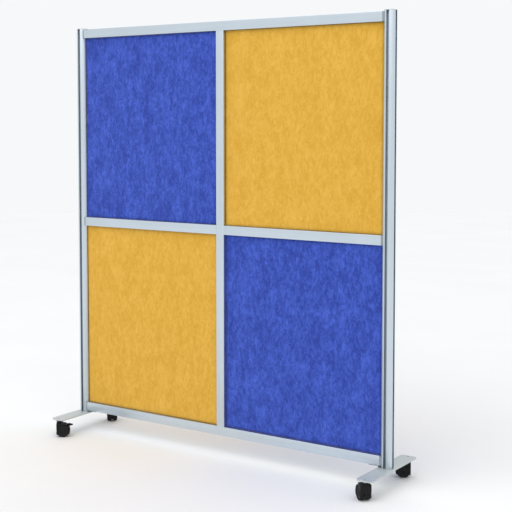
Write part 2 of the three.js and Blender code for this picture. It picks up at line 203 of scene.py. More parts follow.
def blend_colours(tree, factor, first, second):
    ramp = add_node(tree, "ShaderNodeValToRGB", Fac=factor)
    ramp.color_ramp.elements[0].color = (*first, 1)
    ramp.color_ramp.elements[1].color = (*second, 1)
    return ramp.outputs["Color"]


def scaled(colour, factor):
    return tuple(channel * factor for channel in colour)


def shades(tree, colour, darkest, lightest, value, low, high):
    """Shades of a colour as the value goes from low to high; darkest and lightest are factors on it."""
    factor = remap(tree, value, low, high, 0, 1)
    return blend_colours(tree, factor, scaled(colour, darkest), scaled(colour, lightest))


def weighted_sum(tree, *layers):
    """The sum of (value, weight) layers."""
    total = 0.0
    for value, weight in layers:
        total = combine(tree, "ADD", combine(tree, "MULTIPLY", value, weight), total)
    return total


def set_bump(tree, shader, height, distance, strength=1.0):
    bump = add_node(tree, "ShaderNodeBump", Height=height, Distance=distance, Strength=strength)
    tree.links.new(bump.outputs["Normal"], shader.inputs["Normal"])


POST_AXIS_X = 0.808
ALUMINIUM = (0.60, 0.675, 0.735)
STEEL_COAT = (0.50, 0.545, 0.545)
# Painted shade: the brackets' coat is satin silver; this dark grey stands for the shade under the bottom rail.
BRACKET_COAT_PAINTED_SHADE = (0.13, 0.14, 0.15)
ZINC = (0.37, 0.39, 0.41)
BLUE = (0.041, 0.084, 0.45)
BLUE_SPREAD = (0.48, 0.42, 0.29)
YELLOW = (0.70, 0.395, 0.052)
YELLOW_SPREAD = (0.08, 0.12, 0.34)
BLACK_PLASTIC = (0.0055, 0.0055, 0.0065)
BLACK_TREAD = (0.007, 0.007, 0.008)
GREY_PLASTIC = (0.47, 0.51, 0.54)
FIBREBOARD = (0.155, 0.090, 0.045)
FLOOR_DARK = (0.83, 0.833, 0.836)
FLOOR_LIGHT = (0.85, 0.853, 0.856)
BLACK_SPECULAR = 0.2
# Painted shade inside the posts' slots: the darkest factor, and the radii over which it fades in.
SLOT_PAINTED_SHADE = 0.74
SLOT_PAINTED_SHADE_FROM_RADIUS = 0.0228
SLOT_PAINTED_SHADE_TO_RADIUS = 0.0252
# Painted shade along the felt's edges beside the frame: the darkest factor.
FELT_PAINTED_EDGE_SHADE = 0.58


def painted_slot_shade(tree):
    """1 on a post's outside, falling to a darker factor on the walls inside its slots: painted shade in the
    recesses.
    """
    place = add_node(tree, "ShaderNodeTexCoord").outputs["Object"]
    axes = add_node(tree, "ShaderNodeSeparateXYZ", Vector=place)
    across = combine(tree, "SUBTRACT", combine(tree, "ABSOLUTE", axes.outputs["X"], 0.0), POST_AXIS_X)
    square = combine(tree, "POWER", combine(tree, "ABSOLUTE", across, 0.0), 2.0)
    depth = combine(tree, "POWER", combine(tree, "ABSOLUTE", axes.outputs["Y"], 0.0), 2.0)
    radius = combine(tree, "SQRT", combine(tree, "ADD", square, depth), 0.0)
    return remap(tree, radius, SLOT_PAINTED_SHADE_FROM_RADIUS, SLOT_PAINTED_SHADE_TO_RADIUS, SLOT_PAINTED_SHADE, 1.0)


def anodised(name, along, slot_painted_shade=False):
    """Satin anodised extrusion with fine die lines along one axis; on posts, also painted shade inside the slots.
    """
    material, tree, shader = new_material(name, Metallic=1.0, IOR=1.45, Anisotropic=0.25)
    die_stretch = [1.0, 1.0, 1.0]
    die_stretch[along] = 0.012
    lines = stretched_noise(tree, 2600, die_stretch, detail=2)
    broad = stretched_noise(tree, 190, die_stretch, detail=3)
    cloud = stretched_noise(tree, 6, detail=4)
    tone = weighted_sum(tree, (broad, 0.6), (cloud, 0.4))
    colour = shades(tree, ALUMINIUM, 0.95, 1.05, tone, 0.3, 0.7)
    # Painted shade: the colour is darkened inside the post's slots, where shade falls.
    if slot_painted_shade:
        shade = painted_slot_shade(tree)
        darker = add_node(tree, "ShaderNodeVectorMath", {"operation": "SCALE"}, Scale=shade)
        tree.links.new(colour, darker.inputs[0])
        colour = darker.outputs["Vector"]
    tree.links.new(colour, shader.inputs["Base Color"])
    line_rough = remap(tree, lines, 0.3, 0.7, 0.33, 0.41)
    cloud_rough = remap(tree, cloud, 0.3, 0.7, -0.02, 0.03)
    tree.links.new(combine(tree, "ADD", line_rough, cloud_rough), shader.inputs["Roughness"])
    set_bump(tree, shader, weighted_sum(tree, (lines, 1.0), (broad, 2.0)), 0.00002, 0.6)
    return material


def coated_steel(name, colour, metallic, roughness):
    """Powder coat: orange peel, fine metallic speckle and a little wear."""
    material, tree, shader = new_material(name, Metallic=metallic, IOR=1.5)
    peel = stretched_noise(tree, 1400, detail=2)
    speckle = stretched_noise(tree, 700, detail=4, roughness=0.8)
    wear = stretched_noise(tree, 38, detail=6, roughness=0.7)
    tone = weighted_sum(tree, (speckle, 0.45), (wear, 0.55))
    tree.links.new(shades(tree, colour, 0.9, 1.1, tone, 0.32, 0.68), shader.inputs["Base Color"])
    rough = remap(tree, wear, 0.3, 0.7, roughness - 0.05, roughness + 0.08)
    tree.links.new(rough, shader.inputs["Roughness"])
    set_bump(tree, shader, weighted_sum(tree, (peel, 1.0), (speckle, 0.3)), 0.00006, 0.7)
    return material


def zinc_plate(name):
    material, tree, shader = new_material(name, Metallic=1.0, IOR=1.45)
    spangle = stretched_noise(tree, 420, detail=4, distortion=0.6)
    scratches = stretched_noise(tree, 1500, (1, 1, 0.05), (0.3, 0.2, 0), detail=2)
    tree.links.new(shades(tree, ZINC, 0.82, 1.12, spangle, 0.3, 0.7), shader.inputs["Base Color"])
    tree.links.new(remap(tree, spangle, 0.3, 0.7, 0.28, 0.5), shader.inputs["Roughness"])
    set_bump(tree, shader, scratches, 0.00003, 0.6)
    return material


def moulded_plastic(name, colour, roughness, specular=0.5):
    """Moulded plastic: spark-eroded grain, faint flow marks and scuffs."""
    material, tree, shader = new_material(name, IOR=1.48)
    shader.inputs["Specular IOR Level"].default_value = specular
    grain = stretched_noise(tree, 3200, detail=2)
    scuff = stretched_noise(tree, 150, (1, 1, 0.4), (0.5, 0.3, 0.2), detail=6, roughness=0.75)
    tree.links.new(shades(tree, colour, 0.85, 1.35, scuff, 0.35, 0.72), shader.inputs["Base Color"])
    rough = remap(tree, scuff, 0.3, 0.7, roughness - 0.06, roughness + 0.12)
    tree.links.new(rough, shader.inputs["Roughness"])
    set_bump(tree, shader, weighted_sum(tree, (grain, 1.0), (scuff, 0.4)), 0.00005, 0.8)
    return material


def tread_rubber(name):
    """Wheel tread: matt and dusty, polished in patches by rolling."""
    material, tree, shader = new_material(name, IOR=1.5)
    shader.inputs["Specular IOR Level"].default_value = BLACK_SPECULAR
    dust = stretched_noise(tree, 260, detail=6, roughness=0.7, distortion=0.4)
    fine = stretched_noise(tree, 2400, detail=3)
    tree.links.new(shades(tree, BLACK_TREAD, 1.0, 2.2, dust, 0.38, 0.75), shader.inputs["Base Color"])
    tree.links.new(remap(tree, dust, 0.3, 0.7, 0.5, 0.72), shader.inputs["Roughness"])
    set_bump(tree, shader, combine(tree, "ADD", fine, dust), 0.00008, 0.7)
    return material


def felt(name, colour, spread):
    """Needled felt: crossing fibres, soft clumps and darker veins, and a painted shade along its edge.

    Spread is how far the mottling takes each colour channel either way, as a share of it.
    """
    material, tree, shader = new_material(name, Roughness=0.95, IOR=1.35)
    shader.inputs["Sheen Weight"].default_value = 0.22
    shader.inputs["Sheen Roughness"].default_value = 0.6
    shader.inputs["Sheen Tint"].default_value = (*(0.5 + 0.5 * channel for channel in colour), 1)
    shader.inputs["Specular IOR Level"].default_value = 0.25
    fibres_up = stretched_noise(tree, 1300, (1, 1, 0.14), (0, 0.35, 0), detail=2, distortion=0.8)
    fibres_across = stretched_noise(tree, 1100, (0.16, 1, 1), (0, 0.5, 0), detail=2, distortion=0.8)
    fibres = combine(tree, "MULTIPLY", combine(tree, "ADD", fibres_up, fibres_across), 0.5)
    lumps = stretched_noise(tree, 92, (1, 1, 0.5), detail=3, roughness=0.5, distortion=0.6)
    clumps = stretched_noise(tree, 44, (1, 1, 0.55), detail=4, roughness=0.55, distortion=0.5)
    drift = stretched_noise(tree, 16, (1, 1, 0.5), detail=3)
    tone = weighted_sum(tree, (fibres, 0.14), (lumps, 0.30), (clumps, 0.30), (drift, 0.26))
    folds = stretched_noise(tree, 34, (1, 1, 0.6), (0, 0.3, 0), detail=4, roughness=0.6, distortion=1.4)
    away = combine(tree, "ABSOLUTE", combine(tree, "SUBTRACT", folds, 0.5), 0.0)
    veins = remap(tree, away, 0.0, 0.06, 0.45, 0.0)
    level = combine(tree, "SUBTRACT", remap(tree, tone, 0.38, 0.60, 0, 1), veins)
    dark = tuple(channel * (1 - amount) for channel, amount in zip(colour, spread))
    light = tuple(channel * (1 + amount) for channel, amount in zip(colour, spread))
    # Painted shade: the colour darkens towards the felt's edges, beside the frame.
    painted_shade_factor = add_node(tree, "ShaderNodeAttribute", {"attribute_name": "painted_shade_factor"})
    shade = remap(tree, painted_shade_factor.outputs["Fac"], 0.0, 1.0, FELT_PAINTED_EDGE_SHADE, 1.0)
    mottle_and_painted_shade = add_node(tree, "ShaderNodeVectorMath", {"operation": "SCALE"}, Scale=shade)
    tree.links.new(blend_colours(tree, level, dark, light), mottle_and_painted_shade.inputs[0])
    tree.links.new(mottle_and_painted_shade.outputs["Vector"], shader.inputs["Base Color"])
    set_bump(tree, shader, weighted_sum(tree, (fibres, 1.0), (lumps, 0.8)), 0.0006, 0.7)
    return material


def fibreboard(name):
    material, tree, shader = new_material(name, Roughness=0.85, IOR=1.4)
    chips = stretched_noise(tree, 620, (1, 1, 0.5), detail=5, roughness=0.7)
    tree.links.new(shades(tree, FIBREBOARD, 0.7, 1.3, chips, 0.3, 0.7), shader.inputs["Base Color"])
    set_bump(tree, shader, chips, 0.0002, 0.8)
    return material


def studio_floor_material():
    material, tree, shader = new_material("floor", Roughness=0.75, IOR=1.4)
    cloud = stretched_noise(tree, 1.3, detail=4)
    shade = blend_colours(tree, remap(tree, cloud, 0.3, 0.7, 0, 1), FLOOR_DARK, FLOOR_LIGHT)
    tree.links.new(shade, shader.inputs["Base Color"])
    return material


AXES = {"x": 0, "z": 2}
MATERIALS = {
    "anodised_post": anodised("anodised_post_slot_painted_shade", AXES["z"], slot_painted_shade=True),
    "anodised_x": anodised("anodised_along_x", AXES["x"]),
    "anodised_z": anodised("anodised_along_z", AXES["z"]),
    "satin_steel": coated_steel("silver_coated_steel", STEEL_COAT, 0.25, 0.42),
    # Painted shade: a darkened silver coat for the brackets in the shade under the rail.
    "bracket_steel_painted_shade": coated_steel("silver_steel_painted_shade", BRACKET_COAT_PAINTED_SHADE, 0.1, 0.5),
    "zinc_steel": zinc_plate("zinc_plated_steel"),
    "grey_plastic": moulded_plastic("grey_plastic", GREY_PLASTIC, 0.5),
    "black_plastic": moulded_plastic("black_plastic", BLACK_PLASTIC, 0.42, BLACK_SPECULAR),
    "black_rubber": tread_rubber("wheel_tread"),
    "board_core": fibreboard("fibreboard"),
    "blue_felt": felt("blue_felt", BLUE, BLUE_SPREAD),
    "yellow_felt": felt("yellow_felt", YELLOW, YELLOW_SPREAD),
}


# ---- Mesh helpers ----
SHARP_DEG = 32
FELT_SHARP_DEG = 60


def shade_smooth(mesh, sharp_deg=SHARP_DEG):
    mesh.polygons.foreach_set("use_smooth", [True] * len(mesh.polygons))
    mesh.set_sharp_from_angle(angle=math.radians(sharp_deg))


def mesh_object(name, points, faces, material, sharp_deg=SHARP_DEG):
    mesh = bpy.data.meshes.new(name)
    mesh.from_pydata(points, [], faces)
    editable = bmesh.new()
    editable.from_mesh(mesh)
    bmesh.ops.remove_doubles(editable, verts=editable.verts, dist=1e-7)
    bmesh.ops.recalc_face_normals(editable, faces=editable.faces)
    editable.to_mesh(mesh)
    editable.free()
    shade_smooth(mesh, sharp_deg)
    mesh.materials.append(material)
    made = bpy.data.objects.new(name, mesh)
    bpy.context.scene.collection.objects.link(made)
    return made


def arc(centre, radius, from_deg, to_deg, steps):
    """Points on a circle, both ends included."""
    angles = (math.radians(from_deg + (to_deg - from_deg) * i / steps) for i in range(steps + 1))
    return [(centre[0] + radius * math.cos(a), centre[1] + radius * math.sin(a)) for a in angles]


def fillet(corners, steps=3):
    """Closed outline from (x, y) points, where (x, y, radius) asks for a rounded corner."""
    outline = []
    count = len(corners)
    for index, corner in enumerate(corners):
        here = Vector(corner[:2])
        if len(corner) == 2:
            outline.append(tuple(here))
            continue
        to_last = (Vector(corners[index - 1][:2]) - here).normalized()
        to_next = (Vector(corners[(index + 1) % count][:2]) - here).normalized()
        half_angle = to_last.angle(to_next) / 2
        reach = corner[2] / math.tan(half_angle)
        centre = here + (to_last + to_next).normalized() * corner[2] / math.sin(half_angle)
        start = here + to_last * reach - centre
        end = here + to_next * reach - centre
        sweep = start.angle_signed(end)
        for step in range(steps + 1):
            turned = Matrix.Rotation(-sweep * step / steps, 2) @ start
            outline.append(tuple(centre + turned))
    return outline


def inset(loop, distance):
    """The loop moved to its left by distance: inwards where it runs anticlockwise."""
    moved = []
    count = len(loop)
    for index in range(count):
        here = Vector(loop[index])
        before = (here - Vector(loop[index - 1])).normalized()
        after = (Vector(loop[(index + 1) % count]) - here).normalized()
        left_before = Vector((-before.y, before.x))
        left_after = Vector((-after.y, after.x))
        bisector = left_before + left_after
        moved.append(tuple(here + bisector * distance * 2 / max(bisector.length_squared, 1.0)))
    return moved


def area_of(loop):
    """Signed area, positive where the loop runs anticlockwise."""
    return sum(a[0] * b[1] - b[0] * a[1] for a, b in zip(loop, loop[1:] + loop[:1])) / 2


def end_rings(low, high, edge, steps):
    """(height, inset) of each ring of a prism whose two end edges are rounded by edge."""
    if not edge:
        return [(low, 0.0), (high, 0.0)]
    quarter = [math.radians(90 * i / steps) for i in range(steps, -1, -1)]
    lower = [(low + edge * (1 - math.sin(a)), edge * (1 - math.cos(a))) for a in quarter]
    return lower + [(low + high - height, depth) for height, depth in reversed(lower)]


def prism(name, outer, holes, low, high, place, material, edge=0.15 * MM, edge_steps=2):
    """Extrudes an outline with holes from low to high, with its end edges rounded by edge."""
    loops = [outer if area_of(outer) > 0 else outer[::-1]]
    loops += [hole if area_of(hole) < 0 else hole[::-1] for hole in holes]
    rings = end_rings(low, high, edge, edge_steps)
    points, faces = [], []
    ring_bases = []
    for height, depth in rings:
        bases = []
        for loop in loops:
            bases.append(len(points))
            moved = inset(loop, depth) if depth > 1e-9 else loop
            points.extend(place(u, v, height) for u, v in moved)
        ring_bases.append(bases)
    for lower, upper in zip(ring_bases, ring_bases[1:]):
        for loop, a, b in zip(loops, lower, upper):
            count = len(loop)
            for i in range(count):
                j = (i + 1) % count
                faces.append((a + i, a + j, b + j, b + i))
    for bases, (height, depth) in ((ring_bases[0], rings[0]), (ring_bases[-1], rings[-1])):
        flat = [[Vector((u, v, 0)) for u, v in inset(loop, depth)] for loop in loops]
        index_of = [base + i for base, loop in zip(bases, loops) for i in range(len(loop))]
        faces.extend(tuple(index_of[i] for i in triangle) for triangle in tessellate_polygon(flat))
    return mesh_object(name, points, faces, material)


def lathe(name, profile, place, material, segments=64):
    """Turns (radius, height) points about the place's own axis. The profile starts and ends on the axis."""
    points, faces, rows = [], [], []
    for radius, height in profile:
        on_axis = radius < 1e-9
        rows.append((len(points), on_axis))
        for step in range(1 if on_axis else segments):
            angle = 2 * math.pi * step / segments
            points.append(place(radius * math.cos(angle), radius * math.sin(angle), height))
    for (a, a_axis), (b, b_axis) in zip(rows, rows[1:]):
        for i in range(segments):
            j = (i + 1) % segments
            if a_axis and not b_axis:
                faces.append((a, b + i, b + j))
            elif b_axis and not a_axis:
                faces.append((a + i, a + j, b))
            elif not a_axis:
                faces.append((a + i, a + j, b + j, b + i))
    return mesh_object(name, points, faces, material)


def rod_profile(radius, low, high):
    """The profile of a plain cylinder, for lathe."""
    return [(0, low), (radius, low), (radius, high), (0, high)]


def boolean(target, operation, *tools):
    """Joins or cuts target with the tools for good, and removes the tools."""
    for tool in tools:
        modifier = target.modifiers.new(operation.lower(), "BOOLEAN")
        modifier.operation = operation
        modifier.solver = "MANIFOLD"
        modifier.object = tool
    bpy.context.view_layer.update()
    evaluated = target.evaluated_get(bpy.context.evaluated_depsgraph_get())
    mesh = bpy.data.meshes.new_from_object(evaluated)
    target.modifiers.clear()
    old, target.data = target.data, mesh
    bpy.data.meshes.remove(old)
    for tool in tools:
        bpy.data.objects.remove(tool)
    clean = bmesh.new()
    clean.from_mesh(mesh)
    bmesh.ops.dissolve_degenerate(clean, edges=clean.edges, dist=1e-6)
    bmesh.ops.remove_doubles(clean, verts=clean.verts, dist=1e-6)
    clean.to_mesh(mesh)
    clean.free()
    shade_smooth(mesh)


def along_z(centre_x=0.0, centre_y=0.0):
    """Places an outline in x and y, extruded along z."""
    return lambda u, v, w: (centre_x + u, centre_y + v, w)


def along_x(centre_z):
    """Places an outline in y and z, extruded along x."""
    return lambda u, v, w: (w, u, centre_z + v)


def stand_for(piece, node, slot):
    """Puts the finished piece in place of a CAD node, on that node's body."""
    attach(piece, BODY_OF[node])
    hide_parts(node)


BODY_OF = {node: body for body, nodes in frame["record"]["behaviour"]["bodies"].items() for node in nodes}
SLOT_OF = {row["node"]: row["material_slot"] for row in frame["record"]["subparts"]}


def middle_of(node):
    low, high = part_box(node)
    return (low + high) / 2


# ---- Posts ----
POST_RADIUS = 26 * MM
SLOT_MOUTH = 12 * MM
SLOT_WIDTH = 18 * MM
SLOT_LIP_RADIUS = 22.5 * MM
SLOT_FLOOR_RADIUS = 14.5 * MM
POST_BORE_RADIUS = 5.5 * MM
LIP_ROUNDING = 0.5 * MM
INNER_ROUNDING = 0.8 * MM
CAP_EDGE = 1.2 * MM
CAP_PLUG_RADIUS = 5 * MM


def post_outline():
    mouth, inner = SLOT_MOUTH / 2, SLOT_WIDTH / 2
    rim = math.sqrt(POST_RADIUS**2 - mouth**2)
    mouth_deg = math.degrees(math.asin(mouth / POST_RADIUS))
    slot = (
        (rim, -mouth, LIP_ROUNDING),
        (SLOT_LIP_RADIUS, -mouth, LIP_ROUNDING / 2),
        (SLOT_LIP_RADIUS, -inner, INNER_ROUNDING),
        (SLOT_FLOOR_RADIUS, -inner, INNER_ROUNDING),
        (SLOT_FLOOR_RADIUS, inner, INNER_ROUNDING),
        (SLOT_LIP_RADIUS, inner, INNER_ROUNDING),
        (SLOT_LIP_RADIUS, mouth, LIP_ROUNDING / 2),
        (rim, mouth, LIP_ROUNDING),
    )
    corners = []
    for quarter in range(4):
        start = 90 * quarter
        corners.extend(arc((0, 0), POST_RADIUS, start + mouth_deg + 3, start + 87 - mouth_deg, 22))
        turn = math.radians(start + 90)
        for r, t, rounding in slot:
            x = r * math.cos(turn) - t * math.sin(turn)
            y = r * math.sin(turn) + t * math.cos(turn)
            corners.append((x, y, rounding))
    return fillet(corners)


def make_posts():
    for side in SIDES:
        node = f"post_{side}"
        low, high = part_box(node)
        place = along_z(middle_of(node).x)
        bore = arc((0, 0), POST_BORE_RADIUS, 0, 350, 35)
        metal = MATERIALS["anodised_post"]
        post = prism(f"slotted_post_{side}", post_outline(), [bore], low.z, high.z, place, metal)
        stand_for(post, node, "anodised_aluminium")


def make_post_caps():
    """Discs on the posts' tops with a low crown and a dimple, each with a plug in the post's bore."""
    for side in SIDES:
        node = f"post_cap_{side}"
        low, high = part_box(node)
        disc_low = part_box(f"post_{side}")[1].z
        rim_centre = (POST_RADIUS - CAP_EDGE, high.z - 0.4 * MM - CAP_EDGE)
        profile = [
            (0, low.z),
            (CAP_PLUG_RADIUS - 1 * MM, low.z),
            (CAP_PLUG_RADIUS, low.z + 1.5 * MM),
            (CAP_PLUG_RADIUS, disc_low),
            (POST_RADIUS, disc_low),
            *arc(rim_centre, CAP_EDGE, 0, 90, 6),
            (POST_RADIUS * 0.55, high.z - 0.12 * MM),
            (4 * MM, high.z),
            (3.2 * MM, high.z - 0.5 * MM),
            (0, high.z - 0.6 * MM),
        ]
        place = along_z(middle_of(node).x)
        cap = lathe(f"post_end_cap_{side}", profile, place, MATERIALS["grey_plastic"], 96)
        stand_for(cap, node, "grey_plastic")


# ---- Rails and mullion ----
HALF_PROFILE = 20 * MM
GROOVE_WIDTH = 8 * MM
GROOVE_DEPTH = 9 * MM
PROFILE_WALL = 2.5 * MM
EDGE_ROUNDING = 1.2 * MM
LOCK_HOLE_RADIUS = 4.5 * MM
BRACKET_HOLE_RADIUS = 2.75 * MM


def rail_outline(double):
    """A 40 mm square profile with a panel groove in its upper side, and in its lower side if double."""
    h, g, floor, r = HALF_PROFILE, GROOVE_WIDTH / 2, HALF_PROFILE - GROOVE_DEPTH, EDGE_ROUNDING
    lip, root = 0.5 * MM, 0.4 * MM
    lower = ((-g, -h, lip), (-g, -floor, root), (g, -floor, root), (g, -h, lip)) if double else ()
    upper = ((g, h, lip), (g, floor, root), (-g, floor, root), (-g, h, lip))
    return fillet([(-h, -h, r), *lower, (h, -h, r), (h, h, r), *upper, (-h, h, r)], 5)


def rail_chamber(double):
    """The hollow inside the same profile."""
    wide = HALF_PROFILE - PROFILE_WALL
    high = HALF_PROFILE - GROOVE_DEPTH - PROFILE_WALL
    low = -high if double else -wide
    r = 1 * MM
    return fillet([(-wide, low, r), (wide, low, r), (wide, high, r), (-wide, high, r)])


def round_tool(centre, axis, radius, length):
    """A cutting cylinder centred on a point."""
    turn = Vector(axis).to_track_quat("Z", "Y").to_matrix()

    def place(u, v, w):
        return tuple(Vector(centre) + turn @ Vector((u, v, w)))

    profile = rod_profile(radius, -length / 2, length / 2)
    return lathe("cutter", profile, place, MATERIALS["anodised_x"], 40)


LOCK_SCREW_INSET = 24 * MM
LOCK_HOLE_LENGTH = 7 * MM
LOCK_SCREW_RISE = {"top": 4.5 * MM, "mid": 0.0, "bottom": -4.5 * MM}


def lock_screw_place(rail, side):
    """Where a rail lock's screw is reached in the rail's back."""
    low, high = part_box(f"rail_lock_{rail}_{side}")
    inner_end = low.x if SIDES[side] > 0 else high.x
    x = inner_end + SIDES[side] * LOCK_SCREW_INSET
    return (x, HALF_PROFILE, (low.z + high.z) / 2 + LOCK_SCREW_RISE[rail])


def cut_lock_holes(rail_object, rail, sides):
    tools = []
    for side in sides:
        centre = lock_screw_place(rail, side)
        tools.append(round_tool(centre, (0, 1, 0), LOCK_HOLE_RADIUS, LOCK_HOLE_LENGTH))
    boolean(rail_object, "DIFFERENCE", *tools)


def make_rails():
    metal = MATERIALS["anodised_x"]
    for rail, sign in (("top", -1), ("bottom", 1)):
        node = f"{rail}_rail"
        low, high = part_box(node)
        outline = [(u, sign * v) for u, v in rail_outline(False)]
        chamber = [(u, sign * v) for u, v in rail_chamber(False)]
        place = along_x(middle_of(node).z)
        piece = prism(f"{rail}_rail_profile", outline, [chamber], low.x, high.x, place, metal)
        cut_lock_holes(piece, rail, SIDES)
        stand_for(piece, node, "anodised_aluminium")
    for side in SIDES:
        node = f"mid_rail_{side}"
        low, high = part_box(node)
        place = along_x(middle_of(node).z)
        name = f"mid_rail_profile_{side}"
        piece = prism(name, rail_outline(True), [rail_chamber(True)], low.x, high.x, place, metal)
        cut_lock_holes(piece, "mid", [side])
        stand_for(piece, node, "anodised_aluminium")
    low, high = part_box("centre_mullion")
    mullion = prism(
        "mullion_profile",
        rail_outline(True),
        [rail_chamber(True)],
        low.z,
        high.z,
        lambda u, v, w: (v, u, w),
        MATERIALS["anodised_z"],
    )
    stand_for(mullion, "centre_mullion", "anodised_aluminium")


# ---- Felt faces ----
FELT_GRID = 9 * MM
FELT_EDGE = 2.6 * MM
FELT_RELIEF = 0.16 * MM
# Painted shade on the felt reaches this far in from its edges.
FELT_PAINTED_SHADE_WIDTH = 7 * MM
FELT_BASE_SHARE = 0.25
# Painted shade factor right at the felt's edge.
FELT_PAINTED_SHADE_AT_EDGE = 0.15


def felt_height(x, z, seed):
    """Relief of the felt's surface, from -1 to 1: soft clumps with finer lumps on them."""
    clump = noise.noise(Vector((x * 26, seed, z * 14)))
    lump = noise.noise(Vector((x * 85, seed + 7.3, z * 60)))
    return max(-1.0, min(1.0, 1.1 * clump + 0.6 * lump))


def spaced(low, high, pitch, edge, edge_steps=4):
    """Grid lines from low to high: a few close ones over the rounded edge, then even ones."""
    inner_count = max(2, round((high - low - 2 * edge) / pitch))
    rising = [low + edge * (1 - math.cos(math.radians(90 * i / edge_steps))) for i in range(edge_steps)]
    inner = [low + edge + (high - low - 2 * edge) * i / inner_count for i in range(inner_count + 1)]
    falling = [low + high - value for value in reversed(rising)]
    return rising + inner + falling


def make_felt(node, face, seed):
    """A felt face with rounded edges, relief and a flat back. A factor for painted shade falls towards its edges.
    """
    low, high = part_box(node)
    near, far = (low.y, high.y) if face > 0 else (high.y, low.y)
    thickness = abs(far - near)
    pitch = FELT_GRID * 1
    xs = spaced(low.x, high.x, pitch, FELT_EDGE)
    zs = spaced(low.z, high.z, pitch, FELT_EDGE)

    def inside(x, z):
        return min(x - low.x, high.x - x, z - low.z, high.z - z)

    def surface(x, z):
        share = min(1.0, max(0.0, inside(x, z) / FELT_EDGE))
        crown = math.sqrt(max(0.0, 1 - (1 - share) ** 2))
        relief = FELT_RELIEF * (felt_height(x, z, seed) - 1) / 2
        crowned = ((1 - FELT_BASE_SHARE) * thickness + relief) * crown
        return near + face * (FELT_BASE_SHARE * thickness + crowned)

    columns = len(zs)
    points = [(x, surface(x, z), z) for x in xs for z in zs]
    front = len(points)
    points += [(x, near, z) for x in xs for z in zs]
    faces = []
    for i in range(len(xs) - 1):
        for j in range(columns - 1):
            a, b = i * columns + j, (i + 1) * columns + j
            faces.append((a, b, b + 1, a + 1))
            faces.append((front + a, front + a + 1, front + b + 1, front + b))
    last = len(xs) - 1
    rim = [(0, j) for j in range(columns)]
    rim += [(i, columns - 1) for i in range(1, last + 1)]
    rim += [(last, j) for j in range(columns - 2, -1, -1)]
    rim += [(i, 0) for i in range(last - 1, 0, -1)]
    loop = [i * columns + j for i, j in rim]
    for a, b in zip(loop, loop[1:] + loop[:1]):
        faces.append((a, b, front + b, front + a))
    slot = SLOT_OF[node]
    piece = mesh_object(f"{node}_cloth", points, faces, MATERIALS[slot], FELT_SHARP_DEG)
    # The painted shade's factor at each point, lowest at the felt's edges.
    painted_shade_factor = piece.data.attributes.new("painted_shade_factor", "FLOAT", "POINT")
    for vertex, value in zip(piece.data.vertices, painted_shade_factor.data):
        share = inside(vertex.co.x, vertex.co.z) / FELT_PAINTED_SHADE_WIDTH
        value.value = min(1.0, FELT_PAINTED_SHADE_AT_EDGE + (1 - FELT_PAINTED_SHADE_AT_EDGE) * share)
    stand_for(piece, node, slot)


def make_felts():
    seed = 0
    for row in ROWS:
        for side in SIDES:
            for face_name, face in FACES.items():
                seed += 11
                make_felt(f"felt_{face_name}_{row}_{side}", face, seed)


# ---- Feet ----
FOOT_CORNER = 14 * MM
FOOT_EDGE = 1.2 * MM
STEM_HOLE_RADIUS = 5.5 * MM


def make_feet():
    for side in SIDES:
        node = f"foot_plate_{side}"
        low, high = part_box(node)
        centre = (low + high) / 2
        half_x, half_y, r = (high.x - low.x) / 2, (high.y - low.y) / 2, FOOT_CORNER
        corners = [(-half_x, -half_y, r), (half_x, -half_y, r), (half_x, half_y, r), (-half_x, half_y, r)]
        outline = fillet(corners, 10)
        castor_y = [JOINTS[f"castor_{face}_{side}_swivel"]["pos_m"][1] for face in FACES]
        holes = [arc((0, y), STEM_HOLE_RADIUS, 0, 350, 35) for y in (*castor_y, 0.0)]
        plate = prism(
            f"foot_{side}",
            outline,
            holes,
            low.z,
            high.z,
            along_z(centre.x, centre.y),
            MATERIALS["satin_steel"],
            FOOT_EDGE,
            4,
        )
        stand_for(plate, node, "satin_steel")


BRACKET_THICKNESS = 4 * MM
BRACKET_HEEL = 8 * MM
BRACKET_EDGE = 0.8 * MM
BRACKET_CORNER = 0.5 * MM


def make_brackets():
    """Tongues under the bottom rail, each with a heel that stands on the foot plate."""
    for side, way in SIDES.items():
        node = f"foot_bracket_{side}"
        low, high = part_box(node)
        length = high.x - low.x
        tip = low.x if way > 0 else high.x
        sole = high.z - BRACKET_THICKNESS - low.z
        r = BRACKET_CORNER
        outline = fillet(
            [
                (0, sole, r),
                (length - BRACKET_HEEL, sole, r),
                (length - BRACKET_HEEL, 0, r),
                (length, 0, r),
                (length, high.z - low.z, r),
                (0, high.z - low.z, r),
            ]
        )

        def place(u, v, w):
            return (tip + way * u, w, low.z + v)

        # Painted shade: the dark coat stands for the shade under the bottom rail.
        metal = MATERIALS["bracket_steel_painted_shade"]
        name = f"bracket_tongue_{side}"
        bracket = prism(name, outline, [], low.y, high.y, place, metal, BRACKET_EDGE, 3)
        screw = middle_of(f"bracket_screw_{side}")
        middle = (screw.x, 0, high.z - BRACKET_THICKNESS / 2)
        hole = round_tool(middle, (0, 0, 1), BRACKET_HOLE_RADIUS, 3 * BRACKET_THICKNESS)
        boolean(bracket, "DIFFERENCE", hole)
        stand_for(bracket, node, "satin_steel")


